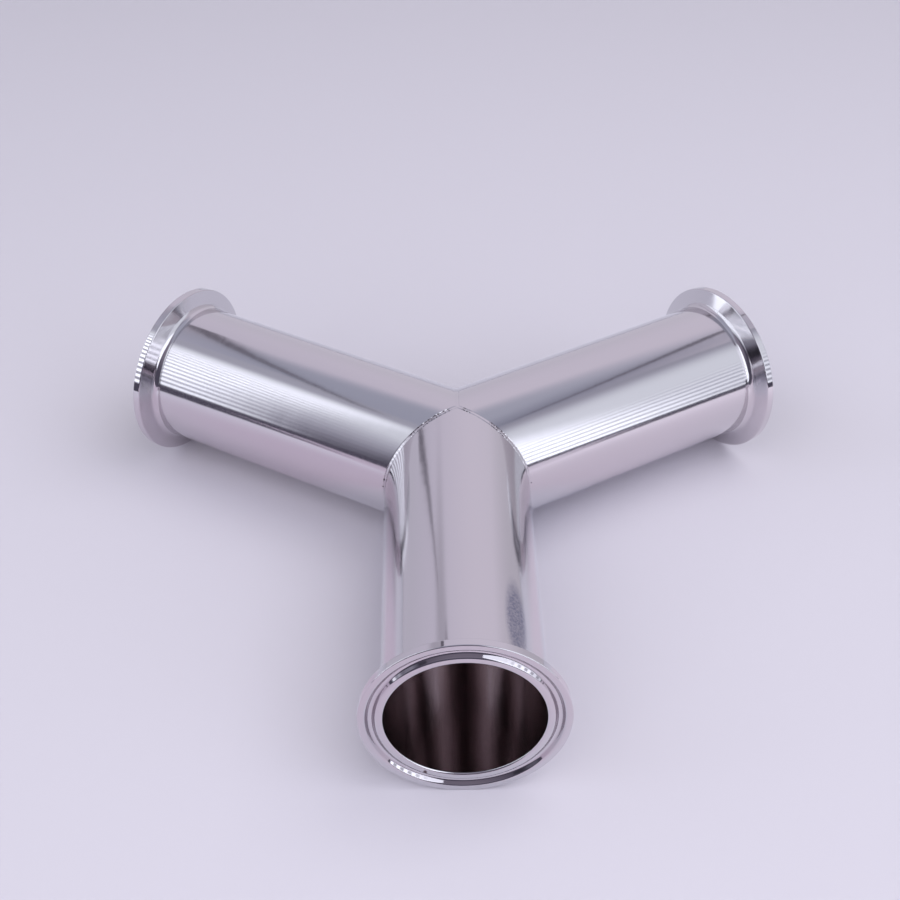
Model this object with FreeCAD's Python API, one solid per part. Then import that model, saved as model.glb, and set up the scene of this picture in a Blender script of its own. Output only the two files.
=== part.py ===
import FreeCAD, Part
import math
import os

# Equal wye for hygienic pipework, in polished stainless steel. Three tubes leave one centre
# in a level plane at 120 degrees, are cut to a double mitre where they meet, and are welded
# along the mitres. Each tube ends in a turned clamp ferrule, butt-welded on and dressed flush.
# Origin: the point where the three tube axes cross. -Y: the front leg. +Z: square to the
# plane of the legs. Millimetres.

# Sizes of the tube
TUBE_OD = 51.0
TUBE_WALL = 1.2
CENTRE_TO_FACE = 120.7      # from the crossing point to the sealing face of each ferrule
MITRE_GAP = 0.8             # each cut end stops this far short of the true mitre plane

# Sizes of the ferrule
FERRULE_LENGTH = 12.7
RIM_PROJECTION = 6.5        # how far the rim stands out past the tube
RIM_THICKNESS = 2.85        # the rim's outer land
RIM_BACK_SLOPE = 20.0       # degrees, the wedge that the clamp pulls on
RIM_EDGE_BREAK = 0.4
MOUTH_BREAK = 0.3
NECK_FILLET = 2.4           # hollow between the rim's back and the neck
GROOVE_INSET = 3.75         # centre line of the gasket groove, in from the rim's edge
GROOVE_WIDTH = 3.2          # across its mouth
GROOVE_DEPTH = 1.35
GROOVE_WALL_SLOPE = 46.0    # degrees from the face, down to a narrow flat floor
FILLET_CUTS = 2             # straight cuts that make up the neck fillet

# Names of the legs, in turn about the centre, and where the first one points
LEGS = ("front", "right", "left")
FIRST_LEG_ANGLE = -90.0

LEG_SPACING = 360.0 / len(LEGS)
MITRE = math.radians(LEG_SPACING / 2)   # angle between a leg's axis and its mitre planes
TUBE_R = TUBE_OD / 2
BORE_R = TUBE_R - TUBE_WALL
RIM_R = TUBE_R + RIM_PROJECTION
TUBE_END = CENTRE_TO_FACE - FERRULE_LENGTH

ORIGIN = FreeCAD.Vector(0, 0, 0)
X_AXIS = FreeCAD.Vector(1, 0, 0)
Z_AXIS = FreeCAD.Vector(0, 0, 1)


def about_leg(shape, turn):
    """A shape made along +X, turned about the centre to where it belongs."""
    return shape.rotated(ORIGIN, Z_AXIS, FIRST_LEG_ANGLE + turn)


def arc_points(centre, radius, start, end, chords):
    """Corners of the short straight cuts that stand for an arc, angles in degrees."""
    count = round(chords)
    angles = [math.radians(start + (end - start) * i / count) for i in range(count + 1)]
    return [(centre[0] + radius * math.cos(a), centre[1] + radius * math.sin(a)) for a in angles]


def groove_points():
    """Gasket groove in the sealing face: two sloping walls down to a narrow floor."""
    middle = RIM_R - GROOVE_INSET
    mouth = GROOVE_WIDTH / 2
    slope = math.tan(math.radians(GROOVE_WALL_SLOPE))
    depth = min(GROOVE_DEPTH, 0.9 * mouth * slope)
    floor = mouth - depth / slope
    return [(CENTRE_TO_FACE, middle - mouth), (CENTRE_TO_FACE - depth, middle - floor),
            (CENTRE_TO_FACE - depth, middle + floor), (CENTRE_TO_FACE, middle + mouth)]


def neck_fillet_points():
    """Hollow that is tangent to the rim's sloped back and to the neck."""
    slope = math.radians(RIM_BACK_SLOPE)
    corner = CENTRE_TO_FACE - RIM_THICKNESS - RIM_PROJECTION * math.tan(slope)
    per_radius = math.tan((math.pi / 2 - slope) / 2)
    radius = min(NECK_FILLET, (corner - TUBE_END) / per_radius, RIM_PROJECTION / 2)
    centre = (corner - radius * per_radius, TUBE_R + radius)
    return arc_points(centre, radius, -RIM_BACK_SLOPE, -90, FILLET_CUTS)


def ferrule():
    """Clamp ferrule, turned about the leg's axis: bore, face, groove, rim, back and neck."""
    face = CENTRE_TO_FACE
    back = face - RIM_THICKNESS
    edge = min(RIM_EDGE_BREAK, RIM_THICKNESS / 3)
    edge_drop = edge * math.tan(math.radians(RIM_BACK_SLOPE))
    outline = [
        (TUBE_END, BORE_R),
        (face - MOUTH_BREAK, BORE_R),
        (face, BORE_R + MOUTH_BREAK),
        *groove_points(),
        (face, RIM_R - edge),
        (face - edge, RIM_R),
        (back + edge, RIM_R),
        (back - edge_drop, RIM_R - edge),
        *neck_fillet_points(),
        (TUBE_END, TUBE_R),
    ]
    loop = [FreeCAD.Vector(x, 0, z) for x, z in outline + outline[:1]]
    return Part.Face(Part.makePolygon(loop)).revolve(ORIGIN, X_AXIS, 360)


def pipe(length):
    """Plain tube along +X from the centre."""
    outside = Part.makeCylinder(TUBE_R, length, ORIGIN, X_AXIS)
    return outside.cut(Part.makeCylinder(BORE_R, length, ORIGIN, X_AXIS))


def mitred_tube():
    """Tube whose inner end is cut along two mitre planes, each set back by the weld gap."""
    tip = MITRE_GAP / math.sin(MITRE)
    reach = 2 * CENTRE_TO_FACE
    spread = reach * math.tan(MITRE)
    corners = [(tip, 0), (tip + reach, -spread), (tip + reach, spread), (tip, 0)]
    wedge = Part.Face(Part.makePolygon([FreeCAD.Vector(x, y, -TUBE_OD) for x, y in corners]))
    return pipe(TUBE_END).common(wedge.extrude(Z_AXIS * (2 * TUBE_OD)))


def half_ellipse(centre, out, height):
    """Half ellipse that bulges along +X from an upright chord, at the near side of the gap."""
    side = FreeCAD.Vector(centre + out, -MITRE_GAP, 0)
    top = FreeCAD.Vector(centre, -MITRE_GAP, height)
    curve = Part.Ellipse(side, top, FreeCAD.Vector(centre, -MITRE_GAP, 0))
    return Part.ArcOfEllipse(curve, -math.pi / 2, math.pi / 2).toShape()


def seam():
    """One seam along a mitre, over +X: the tubes' own mitred section, carried across the gap.

    Its outline is the slanting cut through a tube at the edge of the gap, so its face runs
    flush into the tube on either side and lies flat across the valley between them.
    """
    centre = MITRE_GAP / math.tan(MITRE)
    stretch = math.sin(MITRE)
    outer = half_ellipse(centre, TUBE_R / stretch, TUBE_R)
    inner = half_ellipse(centre, BORE_R / stretch, BORE_R)
    top, bottom = [
        Part.makeLine(FreeCAD.Vector(centre, -MITRE_GAP, side * TUBE_R),
                      FreeCAD.Vector(centre, -MITRE_GAP, side * BORE_R))
        for side in (1, -1)
    ]
    section = Part.Face(Part.Wire([outer, top, inner, bottom]))
    return section.extrude(FreeCAD.Vector(0, 2 * MITRE_GAP, 0))


def crown(z_low):
    """Small three-sided plate where the seams run together above or below the centre."""
    reach = MITRE_GAP / math.sin(MITRE)
    corners = [FreeCAD.Vector(reach, 0, z_low)]
    for _ in LEGS:
        turned = FreeCAD.Rotation(Z_AXIS, LEG_SPACING).multVec(corners[-1])
        corners.append(turned)
    return Part.Face(Part.makePolygon(corners)).extrude(Z_AXIS * TUBE_WALL)


def branch_weld():
    """The weld that joins the three tubes: three seams, run together at top and bottom."""
    pieces = [about_leg(crown(BORE_R), 0), about_leg(crown(-TUBE_R), 0)]
    pieces += [about_leg(seam(), LEG_SPACING * (i + 0.5)) for i in range(len(LEGS))]
    return pieces[0].fuse(pieces[1:]).removeSplitter()


def build():
    nodes = {"branch_weld": branch_weld()}
    for i, leg in enumerate(LEGS):
        nodes[leg + "_tube"] = about_leg(mitred_tube(), LEG_SPACING * i)
        nodes[leg + "_ferrule"] = about_leg(ferrule(), LEG_SPACING * i)
    return nodes


os.makedirs("parts", exist_ok=True)
for name, shape in build().items():
    shape.exportStep("parts/" + name + ".step")
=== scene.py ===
import bmesh
import bpy
import math
from mathutils import Matrix, Vector, noise


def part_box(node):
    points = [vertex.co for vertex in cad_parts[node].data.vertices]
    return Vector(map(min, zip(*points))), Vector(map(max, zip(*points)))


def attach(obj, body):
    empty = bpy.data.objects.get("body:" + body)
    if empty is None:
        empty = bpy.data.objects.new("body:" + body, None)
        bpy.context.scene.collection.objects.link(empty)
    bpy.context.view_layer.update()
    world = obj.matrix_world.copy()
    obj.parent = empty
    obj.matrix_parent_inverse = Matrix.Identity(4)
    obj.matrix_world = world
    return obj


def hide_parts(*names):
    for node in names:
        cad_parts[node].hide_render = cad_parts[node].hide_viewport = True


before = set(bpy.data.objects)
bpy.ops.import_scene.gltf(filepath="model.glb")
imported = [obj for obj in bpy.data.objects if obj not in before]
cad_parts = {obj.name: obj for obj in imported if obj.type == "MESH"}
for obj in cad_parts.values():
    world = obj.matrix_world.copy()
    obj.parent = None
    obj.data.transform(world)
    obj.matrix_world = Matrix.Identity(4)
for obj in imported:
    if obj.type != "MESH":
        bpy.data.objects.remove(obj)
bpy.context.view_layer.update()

# Equal wye for hygienic pipework. Each leg is a mitred tube and a turned clamp ferrule, and one
# dressed weld joins the three tubes. Every piece stands where its CAD solid stands, with the
# true rounds, finish and small faults of the real one. The tubes' axes cross at the origin, the
# front leg points along -Y, and the rims rest on the floor. Metres.

MM = 0.001
LEGS = {"front": -90, "right": 30, "left": 150}     # degrees about +Z
LEG_SPACING = 360 / len(LEGS)
STEPS_ROUND = 256                                   # faces round a turned piece

# Read off the front leg's solids, to a hundredth of a millimetre
TUBE_R, TUBE_END, RIM_R, FACE = (round(size, 5) for size in (
    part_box("front_tube")[1].z, -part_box("front_tube")[0].y,
    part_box("front_ferrule")[1].z, -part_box("front_ferrule")[0].y))
FLOOR_Z = -RIM_R

# Tube
WALL = 1.2 * MM
BORE_R = TUBE_R - WALL
BORE_MARGIN = 0.02 * MM                 # what lies this close to the bore has its finish
MITRE = math.radians(LEG_SPACING / 2)   # from a leg's axis to its mitre planes
MITRE_GAP = 0.8 * MM                    # each cut end stops this far short of them

# Ferrule
RIM_LAND = 2.85 * MM
RIM_BACK = FACE - RIM_LAND
RIM_BACK_SLOPE = math.radians(20)
RIM_EDGE_ROUND = 0.4 * MM
NECK_ROUND = 2.4 * MM
NECK_END = FACE - 8.7 * MM              # the tube's finish runs on over the neck, as far as this
GROOVE_MIDDLE = RIM_R - 3.75 * MM
GROOVE_DEPTH = 1.45 * MM
GROOVE_WALL_SLOPE = math.radians(50)
GROOVE_FLOOR_ROUND = 1.1 * MM
GROOVE_LIP_ROUND = 1.1 * MM
MOUTH_ROUND = 0.8 * MM

MERGE_DISTANCE = 0.002 * MM             # points of a mesh closer than this are one


def join(tree, source, socket):
    """Links an output, or a node's first output in use, to a socket."""
    if isinstance(source, bpy.types.Node):
        source = next(output for output in source.outputs if output.enabled)
    tree.links.new(source, socket)


def add(tree, kind, sockets=None, **settings):
    """Adds a node. A socket takes a value, an output, or a node for its first output in use."""
    node = tree.nodes.new(kind)
    node.location = (190 * (len(tree.nodes) % 12), -220 * (len(tree.nodes) // 12))
    for name, value in settings.items():
        setattr(node, name, value)
    for name, value in (sockets or {}).items():
        if isinstance(value, (bpy.types.Node, bpy.types.NodeSocket)):
            join(tree, value, node.inputs[name])
        else:
            node.inputs[name].default_value = value
    return node


# Settings that many nodes share
EASED = {"interpolation_type": "SMOOTHSTEP"}
TINTED = {"data_type": "RGBA"}


def colour(text):
    """A colour written as sRGB hex, turned to the linear one that a shader takes."""
    parts = [int(text[i:i + 2], 16) / 255 for i in (0, 2, 4)]
    return [c / 12.92 if c <= 0.04045 else ((c + 0.055) / 1.055) ** 2.4 for c in parts] + [1.0]


def with_tree(kind, name):
    """A new material or world, and its empty tree."""
    block = kind.new(name)
    block.use_nodes = True
    block.node_tree.nodes.clear()
    return block, block.node_tree


def in_scene(name, data):
    """A new object, put in the scene."""
    thing = bpy.data.objects.new(name, data)
    bpy.context.scene.collection.objects.link(thing)
    return thing


# Materials

TUBE_TINT = "CFCCCF"
TUBE_ROUGHNESS = 0.105
ROUND_AND_ALONG = "round_and_along"     # the map: metres round the leg, and along its section
ALONG_AND_RADIUS = "along_and_radius"   # each point's place on its section
OXIDE = "oxide"                         # how much is left on each point of the weld

# Flaws, each with its centre and its reach along X, Y and Z. They fade over the outer part
FLAW_FULL = 0.45        # share of its reach up to which a flaw is full
MILL_SKIN = Vector((15.5, -99, 20.2)) * MM, Vector((4.5, 20, 5.5)) * MM
FACE_STAIN = Vector((-11.9, -120.7, -23.3)) * MM, Vector((0.8, 1, 1.4)) * MM

# Where most of a noise pattern's values lie
NOISE_LOW = 0.3
NOISE_HIGH = 0.7


def metal(name, tint, roughness):
    """Starts a bare metal: returns the material, its tree and its shader."""
    material, tree = with_tree(bpy.data.materials, name)
    shader = add(tree, "ShaderNodeBsdfPrincipled", {
        "Base Color": colour(tint), "Metallic": 1.0, "Roughness": roughness})
    add(tree, "ShaderNodeOutputMaterial", {"Surface": shader})
    return material, tree, shader


def flaw(tree, place, centre, reach):
    """How much of a flaw shows: 1 about its centre, easing to 0 at its reach."""
    inward = Vector(1 / r for r in reach)
    away = add(tree, "ShaderNodeVectorMath", {
        0: place, 1: inward, 2: Vector(-c * i for c, i in zip(centre, inward))},
        operation="MULTIPLY_ADD")
    far = add(tree, "ShaderNodeVectorMath", {0: away}, operation="LENGTH")
    return add(tree, "ShaderNodeMapRange", {
        "Value": far, 1: FLAW_FULL, 2: 1.0, 3: 1.0, 4: 0.0}, **EASED)


def patterned(tree, shader, tint, rough, relief):
    """Gives a metal its patterns of tint, roughness and relief."""
    join(tree, tint, shader.inputs["Base Color"])
    join(tree, rough, shader.inputs["Roughness"])
    join(tree, relief, shader.inputs["Normal"])


def belt_polished_tube():
    """Stainless tube, polished on a belt with fine grit while it turns about its axis.

    It mirrors its surroundings, a little blurred. The wall isn't quite round any more, so
    straight edges waver in it.
    """
    material, tree, shader = metal("stainless_tube_belt_polished", TUBE_TINT, TUBE_ROUGHNESS)
    where = add(tree, "ShaderNodeUVMap", uv_map=ROUND_AND_ALONG)
    place = add(tree, "ShaderNodeTexCoord").outputs["Object"]
    # Belt marks are about 0.1 mm apart, too fine for the picture: drawn here at 0.5 mm. They
    # are 17 mm long and lean
    stretched = add(tree, "ShaderNodeMapping", {
        "Vector": where, "Scale": (1 / (16.67 * MM), 1 / (0.5 * MM), 1),
        "Rotation": (0, 0, math.radians(12))})
    marks = add(tree, "ShaderNodeTexNoise", {"Vector": stretched, "Scale": 1.0, "Detail": 3.0})
    cloud = add(tree, "ShaderNodeMapRange", {
        "Value": marks, 1: NOISE_LOW, 2: NOISE_HIGH,
        3: TUBE_ROUGHNESS - 0.02, 4: TUBE_ROUGHNESS + 0.02})
    # The wall's ripples are 20 to 40 mm long, and the belt's hand shows over them at 5 to 10 mm
    slow = add(tree, "ShaderNodeTexNoise", {
        "Vector": place, "Scale": 1 / (28.57 * MM), "Detail": 1.0})
    ripple = add(tree, "ShaderNodeBump", {
        "Height": slow, "Strength": 1.0, "Distance": 0.04 * MM})
    uneven = add(tree, "ShaderNodeTexNoise", {
        "Vector": place, "Scale": 1 / (5.88 * MM), "Detail": 1.0})
    hand = add(tree, "ShaderNodeBump", {
        "Height": uneven, "Strength": 1.0, "Distance": 0.012 * MM, "Normal": ripple})
    lines = add(tree, "ShaderNodeBump", {
        "Height": marks, "Strength": 0.25, "Distance": 0.002 * MM, "Normal": hand})
    # One patch by the front neck that the belt missed: the mill's bluish, pebbled skin
    pebbles = add(tree, "ShaderNodeTexNoise", {
        "Vector": place, "Scale": 1 / (0.769 * MM), "Detail": 1.0})
    grit = add(tree, "ShaderNodeMapRange", {
        "Value": pebbles, 1: NOISE_LOW, 2: NOISE_HIGH, 3: 0.5, 4: 1.0})
    patch = flaw(tree, place, *MILL_SKIN)
    missed = add(tree, "ShaderNodeMath", {0: patch, 1: grit}, operation="MULTIPLY")
    tint = add(tree, "ShaderNodeMix", {
        "Factor": missed, 6: colour(TUBE_TINT), 7: colour("87889B")}, **TINTED)
    rough = add(tree, "ShaderNodeMath", {0: missed, 1: 0.12, 2: cloud},
                operation="MULTIPLY_ADD")
    skin = add(tree, "ShaderNodeBump", {
        "Height": pebbles, "Strength": patch, "Distance": 0.01 * MM, "Normal": lines})
    patterned(tree, shader, tint, rough, skin)
    return material


def as_drawn_bore():
    """Inside of the tube, left as drawn: browner than the outside, with soft lines along the
    bore, which the light runs down."""
    material, tree, shader = metal("stainless_bore_as_drawn", "C0B6B7", 0.16)
    where = add(tree, "ShaderNodeUVMap", uv_map=ROUND_AND_ALONG)
    # The lines of the die are 3 mm wide and 170 mm long
    stretched = add(tree, "ShaderNodeMapping", {
        "Vector": where, "Scale": (1 / (2.857 * MM), 1 / (166.7 * MM), 1)})
    lines = add(tree, "ShaderNodeTexNoise", {"Vector": stretched, "Scale": 1.0, "Detail": 2.0})
    dull = add(tree, "ShaderNodeMapRange", {
        "Value": lines, 1: NOISE_LOW, 2: NOISE_HIGH, 3: 0.13, 4: 0.19})
    join(tree, dull, shader.inputs["Roughness"])
    return material


def turned_ferrule():
    """Stainless ferrule, turned, then buffed on its face and rim: a sharper mirror there than the
    tube. The sloped back is duller, and the groove's walls are tinted grey with painted shade."""
    material, tree, shader = metal("stainless_turned_and_buffed", TUBE_TINT, 0.05)
    where = add(tree, "ShaderNodeUVMap", uv_map=ROUND_AND_ALONG)
    place = add(tree, "ShaderNodeTexCoord").outputs["Object"]
    # The cutter moves 0.08 mm a turn, too fine for the picture: drawn here at 0.25 mm
    stretched = add(tree, "ShaderNodeMapping", {
        "Vector": where, "Scale": (1 / (40 * MM), 1 / (0.25 * MM), 1)})
    rings = add(tree, "ShaderNodeTexNoise", {"Vector": stretched, "Scale": 1.0, "Detail": 2.0})
    dull = add(tree, "ShaderNodeMapRange", {
        "Value": rings, 1: NOISE_LOW, 2: NOISE_HIGH, 3: 0.04, 4: 0.07})
    on_section = add(tree, "ShaderNodeAttribute", attribute_name=ALONG_AND_RADIUS)
    along, radius = add(tree, "ShaderNodeSeparateXYZ", {
        0: on_section.outputs["Vector"]}).outputs[:2]
    # The buff hasn't reached behind the rim, and it is rougher there
    front = add(tree, "ShaderNodeMapRange", {
        "Value": along, 1: RIM_BACK - 0.5 * MM, 2: RIM_BACK})
    back = add(tree, "ShaderNodeMath", {0: front, 1: -0.03, 2: 0.03}, operation="MULTIPLY_ADD")
    rough = add(tree, "ShaderNodeMath", {0: dull, 1: back}, operation="ADD")
    # Painted shade: the groove's two walls are tinted darker, each with its middle 1 mm from the
    # groove's
    aside = add(tree, "ShaderNodeMath", {0: radius, 1: GROOVE_MIDDLE}, operation="SUBTRACT")
    apart = add(tree, "ShaderNodeMath", {0: aside}, operation="ABSOLUTE")
    wall = add(tree, "ShaderNodeMath", {0: apart, 1: 1.0 * MM}, operation="SUBTRACT")
    off_wall = add(tree, "ShaderNodeMath", {0: wall}, operation="ABSOLUTE")
    on_wall = add(tree, "ShaderNodeMapRange", {
        "Value": off_wall, 1: 0.25 * MM, 2: 0.6 * MM, 3: 1.0, 4: 0.0})
    # The walls' painted shade, only in front of the rim's back
    groove_wall_shade = add(tree, "ShaderNodeMath", {0: front, 1: on_wall}, operation="MULTIPLY")
    groove_wall_shaded = add(tree, "ShaderNodeMix", {
        "Factor": groove_wall_shade, 6: colour(TUBE_TINT), 7: colour("B6B1B6")}, **TINTED)
    tint = add(tree, "ShaderNodeMix", {
        "Factor": flaw(tree, place, *FACE_STAIN), 6: groove_wall_shaded, 7: colour("635356")}, **TINTED)
    lines = add(tree, "ShaderNodeBump", {
        "Height": rings, "Strength": 0.3, "Distance": 0.0015 * MM})
    patterned(tree, shader, tint, rough, lines)
    return material


def dressed_weld():
    """Weld metal, ground flush and polished like the tube, with dark oxide left in its pits
    and along its edges."""
    material, tree, shader = metal("stainless_weld_dressed", TUBE_TINT, TUBE_ROUGHNESS)
    place = add(tree, "ShaderNodeTexCoord").outputs["Object"]
    oxide = add(tree, "ShaderNodeAttribute", attribute_name=OXIDE).outputs["Fac"]
    tint = add(tree, "ShaderNodeMix", {
        "Factor": oxide, 6: colour(TUBE_TINT), 7: colour("423B40")}, **TINTED)
    dull = add(tree, "ShaderNodeMapRange", {"Value": oxide, 3: TUBE_ROUGHNESS, 4: 0.45})
    # The small wheel's marks are 0.8 mm long
    marks = add(tree, "ShaderNodeTexNoise", {
        "Vector": place, "Scale": 1 / (0.833 * MM), "Detail": 2.0})
    worn = add(tree, "ShaderNodeBump", {
        "Height": marks, "Strength": 0.3, "Distance": 0.006 * MM})
    patterned(tree, shader, tint, dull, worn)
    return material


# Sections

ARC_STEP = 6.0              # longest step of a round, in degrees
FLAT_GUARD = 0.04 * MM      # longest step from a round onto the straight run beside it


def rounded(corners):
    """Outline with true rounds. A corner is (along the leg, radius, round).

    A point close to each end of a straight run keeps that run flat when it is shaded.
    """
    outline = []
    for i, (x, y, size) in enumerate(corners):
        here = Vector((x, y))
        if size == 0:
            outline.append(here)
            continue
        before = Vector(corners[i - 1][:2]) - here
        after = Vector(corners[(i + 1) % len(corners)][:2]) - here
        guard = min(FLAT_GUARD, 0.3 * min(before.length, after.length))
        half, turn = before.angle(after) / 2, before.angle_signed(after)
        before.normalize()
        after.normalize()
        reach = size / math.tan(half)
        centre = here + (before + after).normalized() * (size / math.sin(half))
        first = here + before * reach - centre
        sweep = math.copysign(math.pi - abs(turn), turn)
        steps = max(3, math.ceil(math.degrees(abs(sweep)) / ARC_STEP))
        outline.append(here + before * (reach + guard))
        outline += [centre + Matrix.Rotation(sweep * k / steps, 2) @ first
                    for k in range(steps + 1)]
        outline.append(here + after * (reach + guard))
    return outline


def run(start, end, steps):
    """Points from start up to, and without, end, which divide a long straight run."""
    a, b = Vector(start), Vector(end)
    return [(*a.lerp(b, i / steps), 0) for i in range(steps)]


def ferrule_section():
    corner = RIM_BACK - (RIM_R - TUBE_R) * math.tan(RIM_BACK_SLOPE)
    # The groove's walls run on under its round floor to a point
    point = GROOVE_DEPTH + GROOVE_FLOOR_ROUND * (1 / math.cos(GROOVE_WALL_SLOPE) - 1)
    half_mouth = point / math.tan(GROOVE_WALL_SLOPE)
    return rounded([
        *run((TUBE_END, BORE_R), (FACE, BORE_R), 4),
        (FACE, BORE_R, MOUTH_ROUND),
        (FACE, GROOVE_MIDDLE - half_mouth, GROOVE_LIP_ROUND),
        (FACE - point, GROOVE_MIDDLE, GROOVE_FLOOR_ROUND),
        (FACE, GROOVE_MIDDLE + half_mouth, GROOVE_LIP_ROUND),
        (FACE, RIM_R, RIM_EDGE_ROUND),
        (RIM_BACK, RIM_R, RIM_EDGE_ROUND),
        (corner, TUBE_R, NECK_ROUND),
        (TUBE_END, TUBE_R, 0),
    ])


def tube_section():
    return rounded([
        *run((0, BORE_R), (TUBE_END, BORE_R), 24),
        (TUBE_END, BORE_R, 0),
        *run((TUBE_END, TUBE_R), (0, TUBE_R), 48),
        (0, TUBE_R, 0),
    ])


# Turned and mitred pieces

def turned_leg_tree():
    """Turns a section about a leg's axis, and cuts its inner end to the two mitre planes.

    A point of the section has its place along the leg, its radius, and the distance run so
    far round the section.
    """
    tree = bpy.data.node_groups.new("turned_leg", "GeometryNodeTree")
    tree.is_modifier = True
    for name, kind in (
            ("Section", "Geometry"), ("Steps round", "Int"), ("Leg angle", "Float"),
            ("Tube radius", "Float"), ("Tube end", "Float"), ("Mitre tip", "Float"),
            ("Mitre slope", "Float"), ("Bore limit", "Float"), ("Neck end", "Float"),
            ("Merge distance", "Float"), ("Tube finish", "Material"),
            ("Rim finish", "Material"), ("Bore finish", "Material")):
        tree.interface.new_socket(name, in_out="INPUT", socket_type="NodeSocket" + kind)
    tree.interface.new_socket("Leg", in_out="OUTPUT", socket_type="NodeSocketGeometry")
    given = add(tree, "NodeGroupInput").outputs

    # A sheet with a column for each point of the section, and the first again at the end
    section = add(tree, "GeometryNodeAttributeDomainSize", {"Geometry": given["Section"]})
    points = section.outputs["Point Count"]
    columns = add(tree, "FunctionNodeIntegerMath", {0: points, 1: 1})
    rows = add(tree, "FunctionNodeIntegerMath", {0: given["Steps round"], 1: 1})
    sheet = add(tree, "GeometryNodeMeshGrid", {"Vertices X": columns, "Vertices Y": rows})
    index = add(tree, "GeometryNodeInputIndex")
    column = add(tree, "FunctionNodeIntegerMath", {0: index, 1: rows}, operation="DIVIDE_FLOOR")
    row = add(tree, "FunctionNodeIntegerMath", {0: index, 1: rows}, operation="MODULO")
    corner = add(tree, "FunctionNodeIntegerMath", {0: column, 1: points}, operation="MODULO")
    point = add(tree, "GeometryNodeSampleIndex", {
        "Geometry": given["Section"], "Value": add(tree, "GeometryNodeInputPosition"),
        "Index": corner}, data_type="FLOAT_VECTOR")
    part = add(tree, "ShaderNodeSeparateXYZ", {0: point}).outputs

    # Starts and ends underneath, where the join of the map isn't seen
    share = add(tree, "ShaderNodeMath", {0: row, 1: given["Steps round"]}, operation="DIVIDE")
    turn = add(tree, "ShaderNodeMath", {0: share, 1: 2 * math.pi, 2: math.pi},
               operation="MULTIPLY_ADD")
    across, height = (
        add(tree, "ShaderNodeMath", {
            0: part["Y"], 1: add(tree, "ShaderNodeMath", {0: turn}, operation=wave)},
            operation="MULTIPLY")
        for wave in ("SINE", "COSINE"))

    # The mitre: how far this side of the tube is cut back, less and less towards its end
    off_axis = add(tree, "ShaderNodeMath", {0: across}, operation="ABSOLUTE")
    cut = add(tree, "ShaderNodeMath", {
        0: off_axis, 1: given["Mitre slope"], 2: given["Mitre tip"]}, operation="MULTIPLY_ADD")
    reached = add(tree, "ShaderNodeMath", {0: part["X"], 1: given["Tube end"]},
                  operation="DIVIDE")
    left = add(tree, "ShaderNodeMath", {0: 1.0, 1: reached}, operation="SUBTRACT",
               use_clamp=True)
    along = add(tree, "ShaderNodeMath", {0: cut, 1: left, 2: part["X"]},
                operation="MULTIPLY_ADD")
    place = add(tree, "ShaderNodeCombineXYZ", {0: along, 1: across, 2: height})
    turned = add(tree, "ShaderNodeVectorRotate", {"Vector": place, "Angle": given["Leg angle"]},
                 rotation_type="Z_AXIS")

    girth = add(tree, "ShaderNodeMath", {0: turn, 1: given["Tube radius"]},
                operation="MULTIPLY")
    pair = add(tree, "ShaderNodeCombineXYZ", {0: girth, 1: part["Z"]})
    on_corners = add(tree, "GeometryNodeFieldOnDomain", {0: pair}, domain="POINT",
                     data_type="FLOAT_VECTOR")
    mapped = add(tree, "GeometryNodeStoreNamedAttribute", {
        "Geometry": sheet, "Name": ROUND_AND_ALONG, "Value": on_corners},
        data_type="FLOAT2", domain="CORNER")
    kept = add(tree, "GeometryNodeStoreNamedAttribute", {
        "Geometry": mapped, "Name": ALONG_AND_RADIUS, "Value": point},
        data_type="FLOAT_VECTOR", domain="POINT")
    shaped = add(tree, "GeometryNodeSetPosition", {"Geometry": kept, "Position": turned})
    closed = add(tree, "GeometryNodeMergeByDistance", {
        "Geometry": shaped, "Distance": given["Merge distance"]})
    smooth = add(tree, "GeometryNodeSetShadeSmooth", {"Geometry": closed})
    real = add(tree, "GeometryNodeRealizeInstances", {"Geometry": smooth})

    # The tube's finish all over, then the rim's past the neck, then the bore's inside
    outside = add(tree, "GeometryNodeSetMaterial", {
        "Geometry": real, "Material": given["Tube finish"]})
    on_section = add(tree, "ShaderNodeSeparateXYZ", {0: add(
        tree, "GeometryNodeInputNamedAttribute", {"Name": ALONG_AND_RADIUS},
        data_type="FLOAT_VECTOR")}).outputs
    on_rim = add(tree, "FunctionNodeCompare", {0: on_section["X"], 1: given["Neck end"]},
                 operation="GREATER_THAN")
    rimmed = add(tree, "GeometryNodeSetMaterial", {
        "Geometry": outside, "Selection": on_rim, "Material": given["Rim finish"]})
    inside = add(tree, "FunctionNodeCompare", {0: on_section["Y"], 1: given["Bore limit"]},
                 operation="LESS_THAN")
    bored = add(tree, "GeometryNodeSetMaterial", {
        "Geometry": rimmed, "Selection": inside, "Material": given["Bore finish"]})
    add(tree, "NodeGroupOutput", {"Leg": bored})
    return tree


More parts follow.
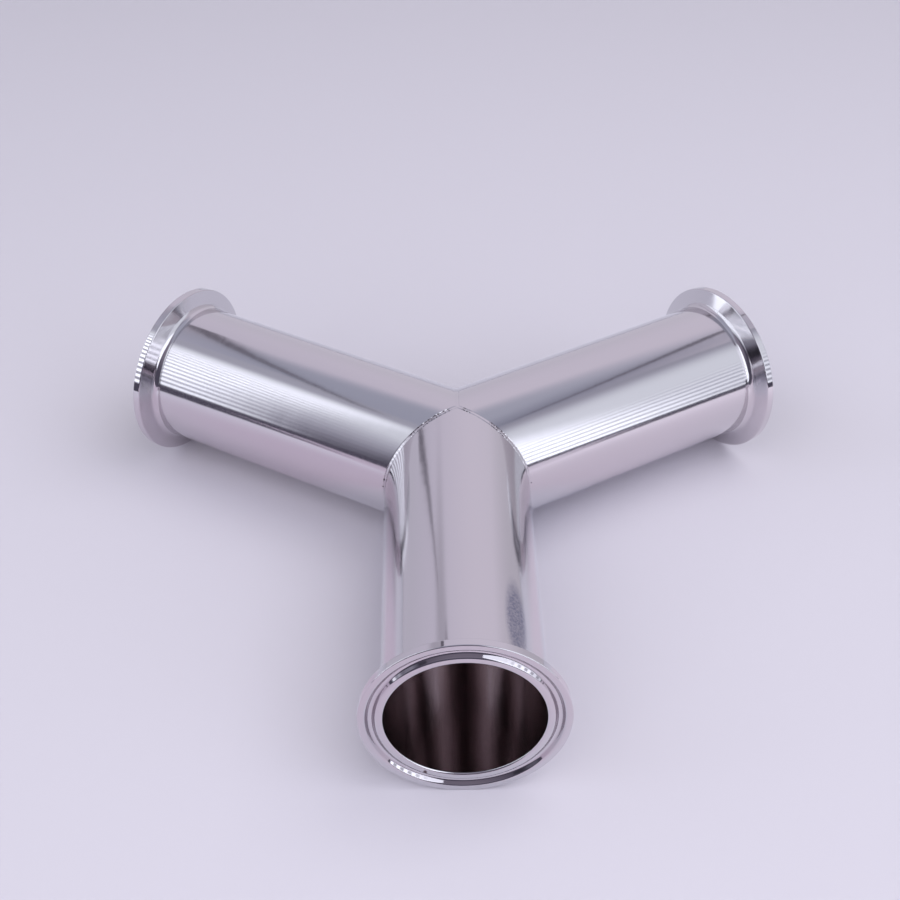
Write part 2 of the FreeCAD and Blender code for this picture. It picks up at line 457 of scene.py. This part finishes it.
def turned_leg(name, section, tree, leg, finishes):
    """One turned piece of a leg, as a plain mesh."""
    length, corners = 0.0, []
    for i, point in enumerate(section):
        length += (point - section[i - 1]).length if i else 0.0
        corners.append((point.x, point.y, length))
    mesh = bpy.data.meshes.new(name + "_section")
    mesh.from_pydata(corners, [(i, i + 1) for i in range(len(corners) - 1)], [])
    piece = in_scene(name, mesh)
    modifier = piece.modifiers.new("turned_leg", "NODES")
    modifier.node_group = tree
    values = {
        "Steps round": STEPS_ROUND, "Leg angle": math.radians(LEGS[leg]),
        "Tube radius": TUBE_R, "Tube end": TUBE_END, "Mitre tip": MITRE_GAP / math.sin(MITRE),
        "Mitre slope": 1 / math.tan(MITRE), "Bore limit": BORE_R + BORE_MARGIN,
        "Neck end": NECK_END, "Merge distance": MERGE_DISTANCE, **finishes}
    for item in tree.interface.items_tree:
        if item.in_out == "INPUT" and item.name in values:
            modifier[item.identifier] = values[item.name]
    made = bpy.data.meshes.new_from_object(
        piece.evaluated_get(bpy.context.evaluated_depsgraph_get()))
    piece.modifiers.remove(modifier)
    piece.data = made
    made.name = name
    made.set_sharp_from_angle(angle=math.radians(35))
    return piece


# The weld

WELD_ROWS = 480         # along a seam, from the top round the side to the bottom
WELD_COLUMNS = 20       # across it, outside
ROOT_COLUMNS = 4        # across it, in the bore
CROWN_ROWS = 5          # from the end of a seam to the middle of the crown
WELD_HOLLOW = 0.7       # 1 is flat across the valley, 0.5 runs tangent into both tubes

# Across a seam, -1 to 1: the middle and the width of the sunk line along each toe
TOE_MIDDLE = 0.72
TOE_WIDTH = 0.2
PROUD_TOE = 1.7         # the wheel dressed one side of each seam less than the other

# How deep the surface is sunk: along the toes everywhere, where they are uneven, and where
# they are stained, then by the ripple all over, and in a pin-hole
TOE_SINK = 0.02 * MM
TOE_UNEVEN = 0.05 * MM
TOE_STAINED = 0.14 * MM
RIPPLE = 0.012 * MM
PIN_HOLE_DEPTH = 0.25 * MM

# Noise is measured in millimetres along and across a seam, and goes through so many waves in
# each: the toes' unevenness, the ripple, and the specks of oxide
UNEVEN_WAVES = 0.9
RIPPLE_WAVES = 3.1
SPECK_WAVES = 1.9
SPECKS_APART = Vector((7, 3, 1))        # keeps the specks from following the unevenness
SEAM_R = 27                             # the seam's mean radius in millimetres
SEAMS_APART = 50                        # keeps one seam's noise from another's

# Where pits and oxide were left: seam, from and to in degrees from the top, and how much
STAINS = ((0, 3, 9, 1.0), (0, 25, 42, 1.0), (0, 42, 74, 0.5), (2, 5, 40, 1.0),
          (2, 66, 84, 0.5))
STAIN_FADE = 3          # degrees over which a stain ends
# Pin-holes at the sides: seam, degrees from the top, place across, and radius
PIN_HOLES = ((0, 84, 0.8, 0.3 * MM), (2, 87, -0.8, 0.3 * MM), (2, 80, -0.6, 0.5 * MM))


def weld_point(radius, turn, side, sink=0.0):
    """A point of one seam, which runs out over +X: turn goes from 0 on top to pi below, and
    side from -1 to 1 across it. sink lowers it into the metal."""
    stretch = math.sin(MITRE)
    valley = MITRE_GAP / math.tan(MITRE) * (WELD_HOLLOW + (1 - WELD_HOLLOW) * side * side)
    x = radius / stretch * math.sin(turn) + valley
    z = radius * math.cos(turn)
    out = Vector((math.sin(turn), 0, math.cos(turn) / stretch)).normalized()
    return Vector((x, MITRE_GAP * side, z)) - out * sink


def weld_depth(seam, turn, side):
    """How far the surface lies under the plain fillet, and how much oxide is left there."""
    where = Vector((turn * SEAM_R, side * MITRE_GAP / MM, seam * SEAMS_APART))
    degrees = math.degrees(turn)
    stained = 0.0
    for stain_seam, start, end, amount in STAINS:
        if stain_seam == seam:
            inside = min(degrees - start, end - degrees) / STAIN_FADE
            stained = max(stained, amount * min(max(inside + 0.5, 0.0), 1.0))
    toe = math.exp(-((abs(side) - TOE_MIDDLE) / TOE_WIDTH) ** 2)
    if side < 0:
        toe *= PROUD_TOE
    uneven = noise.noise(where * UNEVEN_WAVES) * 0.5 + 0.5
    fine = noise.noise(where * RIPPLE_WAVES)
    sink = toe * (TOE_SINK + TOE_UNEVEN * uneven + TOE_STAINED * stained * uneven)
    # The ripple dies out at the edges, and is coarser where the weld is stained
    sink += RIPPLE * fine * (1 - side ** 4) * (0.3 + 3 * stained)
    # Specks in the stains, most along the toes, and a faint line along the proud toe
    speckled = max(0.0, noise.noise(where * SPECK_WAVES + SPECKS_APART) + 0.1) * 2.6
    oxide = max(stained * speckled * (0.35 + 0.65 * toe), 0.25 * (toe - 1) * uneven)
    for hole_seam, at, across, radius in PIN_HOLES:
        if hole_seam == seam:
            run_to_it = math.hypot((turn - math.radians(at)) * SEAM_R * MM,
                                   (side - across) * MITRE_GAP)
            deep = max(0.0, 1 - run_to_it / radius)
            sink += PIN_HOLE_DEPTH * deep
            oxide = max(oxide, min(1.0, 3 * deep))
    # The very edges aren't sunk, because they meet the tubes
    return sink * (1 - side ** 16), min(1.0, oxide)


def weld_piece(name, material):
    """Three seams, run together above and below the centre, as one closed shell."""
    faces, points, oxide = [], [], []

    def sheet(radius, seam, worked, columns):
        """One side of a seam, with its crowns. Returns the seam's own rows of points."""
        turned = Matrix.Rotation(math.radians(LEGS["front"] + LEG_SPACING * (seam + 0.5)), 3, "Z")
        grid = []
        for j in range(-CROWN_ROWS, WELD_ROWS + CROWN_ROWS + 1):
            turn = math.pi * min(max(j, 0), WELD_ROWS) / WELD_ROWS
            inward = max(-j, j - WELD_ROWS, 0) / CROWN_ROWS
            middle = Vector((0, 0, radius * math.cos(turn)))
            row = []
            for k in range(columns + 1):
                side = 2 * k / columns - 1
                sink, dark = weld_depth(seam, turn, side) if worked else (0.0, 0.0)
                here = weld_point(radius, turn, side, sink * (1 - inward))
                row.append(len(points))
                points.append(turned @ here.lerp(middle, inward))
                oxide.append(dark)
            grid.append(row)
        for a, b in zip(grid, grid[1:]):
            for k in range(columns):
                face = [a[k], b[k], b[k + 1], a[k + 1]]
                faces.append(face if worked else face[::-1])
        return grid[CROWN_ROWS:CROWN_ROWS + WELD_ROWS + 1]

    for seam in range(len(LEGS)):
        outer = sheet(TUBE_R, seam, True, WELD_COLUMNS)
        inner = sheet(BORE_R, seam, False, ROOT_COLUMNS)
        for j in range(WELD_ROWS):
            faces.append([outer[j][0], inner[j][0], inner[j + 1][0], outer[j + 1][0]])
            faces.append([outer[j + 1][-1], inner[j + 1][-1], inner[j][-1], outer[j][-1]])

    mesh = bpy.data.meshes.new(name)
    mesh.from_pydata(points, [], faces)
    mesh.attributes.new(OXIDE, "FLOAT", "POINT").data.foreach_set("value", oxide)
    mesh.materials.append(material)
    piece = in_scene(name, mesh)

    shell = bmesh.new()
    shell.from_mesh(mesh)
    bmesh.ops.remove_doubles(shell, verts=shell.verts, dist=MERGE_DISTANCE)
    bmesh.ops.recalc_face_normals(shell, faces=shell.faces)
    shell.to_mesh(mesh)
    shell.free()
    mesh.shade_smooth()
    mesh.set_sharp_from_angle(angle=math.radians(40))
    return piece


# Pieces in the frame, each with the slot of its finish and the solid that it stands for

def dressed_pieces():
    finishes = {"Tube finish": belt_polished_tube(), "Rim finish": turned_ferrule(),
                "Bore finish": as_drawn_bore()}
    tree = turned_leg_tree()
    sections = {"tube": tube_section(), "ferrule": ferrule_section()}
    for leg in LEGS:
        for kind, section in sections.items():
            piece = turned_leg(f"{leg}_{kind}_finished", section, tree, leg, finishes)
            yield piece, kind, f"{leg}_{kind}"
    yield weld_piece("branch_weld_dressed", dressed_weld()), "weld", "branch_weld"


for piece, slot, node in dressed_pieces():
    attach(piece, "root")
    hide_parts(node)


# Studio

BACKDROP_TINT = "D4D1DE"


def aimed(azimuth, elevation=0.0):
    """The way out to an azimuth and elevation in degrees, and the level and the upright way
    across it. Azimuth 0 is -Y, the camera's side, and 90 is +X."""
    turn, tilt = math.radians(azimuth), math.radians(elevation)
    level = Vector((math.cos(turn), math.sin(turn), 0))
    out = Vector((math.sin(turn) * math.cos(tilt), -math.cos(turn) * math.cos(tilt),
                  math.sin(tilt)))
    return out, level, out.cross(level)


def stage_card(name, corners, material, ways):
    """A flat card of the studio, seen only by the kinds of ray named."""
    mesh = bpy.data.meshes.new(name)
    mesh.from_pydata(corners, [], [tuple(range(len(corners)))])
    mesh.materials.append(material)
    card = in_scene(name, mesh)
    for way in ("camera", "diffuse", "glossy", "transmission", "shadow"):
        setattr(card, "visible_" + way, way in ways)


# How far out the floor starts and ends to go over to the plain backdrop, past the lamps' reach
FLOOR_FADE = 0.65, 1.0


def backdrop_paper():
    """Pale matt paper. Far out it goes over to the plain backdrop, so that a low view has no
    dark band at the horizon."""
    material, tree = with_tree(bpy.data.materials, "backdrop_paper")
    place = add(tree, "ShaderNodeTexCoord").outputs["Object"]
    out = add(tree, "ShaderNodeVectorMath", {0: place}, operation="LENGTH")
    far = add(tree, "ShaderNodeMapRange", {
        "Value": out, 1: FLOOR_FADE[0], 2: FLOOR_FADE[1]}, **EASED)
    matt = add(tree, "ShaderNodeBsdfDiffuse", {"Color": colour("D4CFDB")})
    backdrop = add(tree, "ShaderNodeEmission", {"Color": colour(BACKDROP_TINT)})
    both = add(tree, "ShaderNodeMixShader", {0: far, 1: matt, 2: backdrop})
    add(tree, "ShaderNodeOutputMaterial", {"Surface": both})
    return material


def table_top_painted_light():
    """The table's paper as the metal mirrors it, with painted light and shade: painted pinker
    close in front of the rear legs and of the front face, painted brighter farther out, and
    painted dimmer on the left."""
    material, tree = with_tree(bpy.data.materials, "table_paper_painted_light")
    place = add(tree, "ShaderNodeTexCoord").outputs["Object"]
    x, y = add(tree, "ShaderNodeSeparateXYZ", {0: place}).outputs[:2]
    aside = add(tree, "ShaderNodeMath", {0: x}, operation="ABSOLUTE")
    out = add(tree, "ShaderNodeVectorMath", {0: place}, operation="LENGTH")
    shares = {name: add(tree, "ShaderNodeMapRange", {"Value": value, 1: start, 2: end}, **EASED)
              for name, value, start, end in (
                  ("rightward", x, -0.15, 0.15), ("beside", aside, 0.04, 0.07),
                  ("outward", out, 0.12, 0.3), ("past_face", y, -0.12, -0.16),
                  ("behind", y, -0.02, 0.1))}
    # Painted light and shade: the paper's tints, pinker close to the part, brighter far out and
    # dimmer on the left
    painted_light_tints = {"middle": colour("DEDBE8"), "rear": colour("DBD8E5"),
             "pink_left": colour("D6C8D9"), "pink_right": colour("E2D8E5"),
             "far_left": colour("E9E5F2"), "far_right": colour("F9F0FC")}
    for name, share, first, second in (
            ("pink", "rightward", "pink_left", "pink_right"),
            ("far", "rightward", "far_left", "far_right"),
            ("near", "beside", "middle", "pink"),
            ("spread", "outward", "near", "far"),
            ("front", "past_face", "spread", "pink"),
            ("all", "behind", "front", "rear")):
        painted_light_tints[name] = add(tree, "ShaderNodeMix", {
            "Factor": shares[share], 6: painted_light_tints[first], 7: painted_light_tints[second]}, **TINTED)
    matt = add(tree, "ShaderNodeBsdfDiffuse", {"Color": painted_light_tints["all"]})
    add(tree, "ShaderNodeOutputMaterial", {"Surface": matt})
    return material


def grey_cloth():
    """Dark cloth on a rail, evenly lit."""
    material, tree = with_tree(bpy.data.materials, "grey_cloth")
    glow = add(tree, "ShaderNodeEmission", {"Color": colour("696471"), "Strength": 1.0})
    add(tree, "ShaderNodeOutputMaterial", {"Surface": glow})
    return material


# Strength of the lamps between two rows, in the middle of one, and where rows run together
ROW_GAP = 0.4
ROW_MIDDLE = 1.3
ROWS_MERGED = 0.9
SPILL_FADE = 0.15       # width over which what a bank spills past its side edge drops again


def lamp_bank(name, azimuth, distance, outline, first_row, row_pitch, row_slant, rows_merge,
              foot_share, foot_height, side_lean, side_edge, spill, far_spill, spill_rows,
              top_lean, top_edge, top_share, gain):
    """A bank of rows of small lamps, on a card that stands square to an azimuth.

    Across and up are measured in shares of its distance, and the outline is given in them.
    The first row is at the height first_row, and the rest follow row_pitch apart. They rise by
    row_slant across the card, and run together over the heights rows_merge.
    gain is the full strength. It is down to foot_share at the foot, and full from foot_height.
    Over side_edge, which leans by side_lean, it drops to spill, one share at the foot and one
    higher up, and farther out to far_spill of that. Rows are as clear there as spill_rows.
    Over top_edge, which leans by top_lean, it fades to top_share.
    """
    out, level, upright = aimed(azimuth)
    material, tree = with_tree(bpy.data.materials, name + "_rows")
    place = add(tree, "ShaderNodeTexCoord").outputs["Object"]
    aside, height, up_rows, past_side, to_top = (
        add(tree, "ShaderNodeVectorMath", {0: place, 1: way / distance}, operation="DOT_PRODUCT")
        for way in (level, upright, upright - level * row_slant, level + upright * side_lean,
                    upright + level * top_lean))

    wave = add(tree, "ShaderNodeMath", {
        0: up_rows, 1: 2 * math.pi / row_pitch, 2: -2 * math.pi * first_row / row_pitch},
        operation="MULTIPLY_ADD")
    crest = add(tree, "ShaderNodeMath", {0: wave}, operation="COSINE")
    lamps = add(tree, "ShaderNodeMapRange", {
        "Value": crest, 1: -0.5, 2: 0.4, 3: ROW_GAP, 4: ROW_MIDDLE}, **EASED)
    full = add(tree, "ShaderNodeMapRange", {
        "Value": past_side, 1: side_edge[0], 2: side_edge[1], 3: 1, 4: 0}, **EASED)
    apart = add(tree, "ShaderNodeMapRange", {
        "Value": height, 1: rows_merge[0], 2: rows_merge[1], 3: 1, 4: 0}, **EASED)
    clear_there = add(tree, "ShaderNodeMapRange", {"Value": full, 3: spill_rows, 4: 1.0})
    clear = add(tree, "ShaderNodeMath", {0: clear_there, 1: apart}, operation="MULTIPLY")
    striped = add(tree, "ShaderNodeMix", {"Factor": clear, 2: ROWS_MERGED, 3: lamps},
                  data_type="FLOAT")

    spilt = add(tree, "ShaderNodeMapRange", {
        "Value": height, 1: 0.0, 2: 1.0, 3: spill[0], 4: spill[1]})
    far_out = add(tree, "ShaderNodeMapRange", {
        "Value": aside, 1: side_edge[1], 2: side_edge[1] + SPILL_FADE, 3: 1.0, 4: far_spill},
        **EASED)
    past_it = add(tree, "ShaderNodeMath", {0: spilt, 1: far_out}, operation="MULTIPLY")
    share = add(tree, "ShaderNodeMix", {"Factor": full, 2: past_it, 3: 1.0}, data_type="FLOAT")

    upper = add(tree, "ShaderNodeMapRange", {
        "Value": to_top, 1: top_edge[0], 2: top_edge[1], 3: gain, 4: gain * top_share}, **EASED)
    foot = add(tree, "ShaderNodeMapRange", {
        "Value": height, 1: 0.0, 2: foot_height, 3: foot_share, 4: 1.0}, **EASED)
    faded = add(tree, "ShaderNodeMath", {0: upper, 1: foot}, operation="MULTIPLY")
    lit = add(tree, "ShaderNodeMath", {0: striped, 1: share}, operation="MULTIPLY")
    power = add(tree, "ShaderNodeMath", {0: lit, 1: faded}, operation="MULTIPLY")
    # Where the rows are dim they show bluer
    tint = add(tree, "ShaderNodeMix", {
        "Factor": power, 6: colour("D8D2F4"), 7: colour("EDF1FD")}, **TINTED)
    glow = add(tree, "ShaderNodeEmission", {"Color": tint, "Strength": power})
    add(tree, "ShaderNodeOutputMaterial", {"Surface": glow})
    corners = [(out + level * across + upright * up) * distance for across, up in outline]
    stage_card(name, corners, material, ("diffuse", "glossy"))


def soft_lamp(name, azimuth, elevation, distance, size, watts):
    """A large soft lamp aimed at the part. The metal doesn't mirror it."""
    lamp = in_scene(name, bpy.data.lights.new(name, "AREA"))
    lamp.data.size = size
    lamp.data.energy = watts
    way = aimed(azimuth, elevation)[0]
    lamp.location = way * distance
    lamp.rotation_euler = way.to_track_quat("Z", "Y").to_euler()
    lamp.visible_camera = False
    lamp.visible_glossy = False


def rail(name, start, end, half_widths, material):
    """A thin dark rail that the metal mirrors as a line, with its half widths at both ends."""
    start, end = Vector(start), Vector(end)
    aside = (end - start).cross(start).normalized()
    corners = [start - aside * half_widths[0], end - aside * half_widths[1],
               end + aside * half_widths[1], start + aside * half_widths[0]]
    stage_card(name, corners, material, ("glossy",))


# The floor that the camera sees
FLOOR_REACH = 6.0
stage_card("floor", [(x * FLOOR_REACH, y * FLOOR_REACH, FLOOR_Z) for x, y in (
    (-1, -1), (1, -1), (1, 1), (-1, 1))], backdrop_paper(), ("camera", "diffuse", "shadow"))

# Just over it, the table top that the metal mirrors. It is wide behind, narrow beside the part
# and wider again in front, and past it the room is dark
TABLE_Z = FLOOR_Z + 0.1 * MM
TABLE_LEFT = 0.31
TABLE_RIGHT = 0.35
TABLE_FRONT = 0.6           # half its width in front, and how far that edge is out
TABLE_SLANT = 0.2, 0.26     # how far out its sides begin and end to widen again
TABLE_REAR = 1.0            # half its width behind, and how far that edge is out


def table_half(beside):
    """Half of its outline, from the front edge to the rear one."""
    return [(TABLE_FRONT, -TABLE_FRONT), (TABLE_FRONT, -TABLE_SLANT[1]),
            (beside, -TABLE_SLANT[0]), (beside, 0.0), (TABLE_REAR, 0.0),
            (TABLE_REAR, TABLE_REAR)]


stage_card("table_top",
           [(x, y, TABLE_Z) for x, y in table_half(TABLE_RIGHT)]
           + [(-x, y, TABLE_Z) for x, y in reversed(table_half(TABLE_LEFT))],
           table_top_painted_light(), ("glossy",))

lamp_bank("lamp_bank_left", -76, 1.1,
          outline=((-0.75, -0.06), (-0.1, -0.06), (0.6, 0.11), (0.6, 2.3), (-0.75, 2.3)),
          first_row=0.009, row_pitch=0.109, row_slant=0.256, rows_merge=(1.0, 1.3),
          foot_share=0.8, foot_height=0.45, side_lean=0.19, side_edge=(0.18, 0.35),
          spill=(0.12, 0.62), far_spill=0.15, spill_rows=0.1,
          top_lean=-1.5, top_edge=(1.3, 2.3), top_share=0.38, gain=1.88)
lamp_bank("lamp_bank_right", 50, 1.1,
          outline=((-0.47, 0.217), (0.4, -0.06), (1.3, -0.06), (1.3, 2.35), (-0.47, 1.9)),
          first_row=0.086, row_pitch=0.102, row_slant=-0.32, rows_merge=(0.25, 0.75),
          foot_share=1.0, foot_height=0.1, side_lean=0.0, side_edge=(0.15, 0.36),
          spill=(0.54, 0.54), far_spill=1.0, spill_rows=0.7,
          top_lean=0.3, top_edge=(1.05, 2.35), top_share=0.5, gain=2.25)
soft_lamp("key_lamp", 92, 64, distance=1.5, size=1.2, watts=8.3)
soft_lamp("fill_lamp", -18, 40, distance=1.5, size=1.6, watts=12.2)

cloth = grey_cloth()
rail("rail_left", (-0.545, 0.06, 1.0), (-0.435, 0.92, 1.0), (0.010, 0.032), cloth)
rail("rail_right", (0.577, 0.05, 1.0), (0.637, 0.57, 1.0), (0.008, 0.028), cloth)
rail("rail_behind", (-0.50, 0.69, 0.26), (-0.41, 0.659, 0.62), (0.022, 0.004), cloth)


def studio_room():
    """The world. The camera sees the plain backdrop, and a plain grey lights what is matt. The
    metal mirrors a room that is pale behind, dimmer at the sides and overhead, and dark in
    front."""
    world, tree = with_tree(bpy.data.worlds, "studio")
    ray = add(tree, "ShaderNodeLightPath").outputs
    way = add(tree, "ShaderNodeSeparateXYZ", {0: add(tree, "ShaderNodeTexCoord")}).outputs

    # Colours that go over to others as a ray's way turns along one axis, from and to
    fields = {}
    for name, axis, start, end, first, second in (
            ("ceiling", "X", 0.33, 0.5, "BCBED0", "9D9FB3"),
            ("wall", "Z", 0.1, 0.6, "E0DBE9", "E9E2F2"),
            ("left_share", "X", -0.6, 0.3, "F0F1F4", "FFFFFF"),
            ("in_front", "Z", 0.3, 0.85, "575364", "948D9E")):
        eased = add(tree, "ShaderNodeMapRange", {"Value": way[axis], 1: start, 2: end}, **EASED)
        fields[name] = add(tree, "ShaderNodeMix", {
            "Factor": eased, 6: colour(first), 7: colour(second)}, **TINTED)

    # A soft shade on the wall, which carries the line of the rail behind on upwards
    from_shade = add(tree, "ShaderNodeMath", {0: way["X"], 1: 0.37})
    aside = add(tree, "ShaderNodeMath", {0: from_shade}, operation="ABSOLUTE")
    near = add(tree, "ShaderNodeMapRange", {"Value": aside, 1: 0.14, 2: 0.02}, **EASED)
    above = add(tree, "ShaderNodeMapRange", {"Value": way["Z"], 1: 0.50, 2: 0.60}, **EASED)
    shade = add(tree, "ShaderNodeMath", {0: near, 1: above}, operation="MULTIPLY")
    wall = add(tree, "ShaderNodeMix", {
        "Factor": shade, 6: fields["wall"], 7: colour("C9C3D1")}, **TINTED)

    overhead = add(tree, "ShaderNodeMapRange", {"Value": way["Z"], 1: 0.74, 2: 0.88}, **EASED)
    behind = add(tree, "ShaderNodeMix", {
        "Factor": overhead, 6: wall, 7: fields["ceiling"]}, **TINTED)
    # Dimmer to the left, and again at the far right
    behind = add(tree, "ShaderNodeVectorMath", {0: behind, 1: fields["left_share"]},
                 operation="MULTIPLY")
    right_share = add(tree, "ShaderNodeMapRange", {
        "Value": way["X"], 1: 0.5, 2: 0.67, 3: 1.0, 4: 0.84})
    behind = add(tree, "ShaderNodeVectorMath", {0: behind, "Scale": right_share},
                 operation="SCALE")

    # The pale part leans over towards the camera as it rises
    rear = add(tree, "ShaderNodeMath", {0: way["Z"], 1: 0.3, 2: way["Y"]},
               operation="MULTIPLY_ADD")
    rearward = add(tree, "ShaderNodeMapRange", {"Value": rear, 1: -0.1, 2: 0.2}, **EASED)
    mirrored = add(tree, "ShaderNodeMix", {
        "Factor": rearward, 6: fields["in_front"], 7: behind}, **TINTED)
    lit = add(tree, "ShaderNodeMix", {
        "Factor": ray["Is Glossy Ray"], 6: colour("949496"), 7: mirrored}, **TINTED)
    seen = add(tree, "ShaderNodeMix", {
        "Factor": ray["Is Camera Ray"], 6: lit, 7: colour(BACKDROP_TINT)}, **TINTED)
    glow = add(tree, "ShaderNodeBackground", {"Color": seen, "Strength": 1.0})
    add(tree, "ShaderNodeOutputWorld", {"Surface": glow})
    return world


bpy.context.scene.world = studio_room()
bpy.context.scene.cycles.glossy_bounces = 12    # light takes many bounces down the bores


# Camera

CAMERA_AZIMUTH = -1.47
CAMERA_ELEVATION = 38.514
CAMERA_DISTANCE = 523.8 * MM
CAMERA_ASIDE = -2.347 * MM
CAMERA_RAISED = 4.787 * MM
CAMERA_ROLL = math.radians(0.661)
SENSOR_WIDTH = 36.0         # millimetres, as the lens
LENS = 58.23

camera = in_scene("camera", bpy.data.cameras.new("camera"))
camera.data.sensor_width = SENSOR_WIDTH
camera.data.lens = LENS
camera.data.clip_start = 0.01
camera.data.clip_end = 50.0
back, right, up = aimed(CAMERA_AZIMUTH, CAMERA_ELEVATION)
place = back * CAMERA_DISTANCE + right * CAMERA_ASIDE + up * CAMERA_RAISED
rolled = Matrix.Rotation(CAMERA_ROLL, 3, "Z")
camera.matrix_world = (Matrix.Translation(place)
                       @ (Matrix((right, up, back)).transposed() @ rolled).to_4x4())
bpy.context.scene.camera = camera
bpy.context.scene.view_settings.view_transform = "Standard"
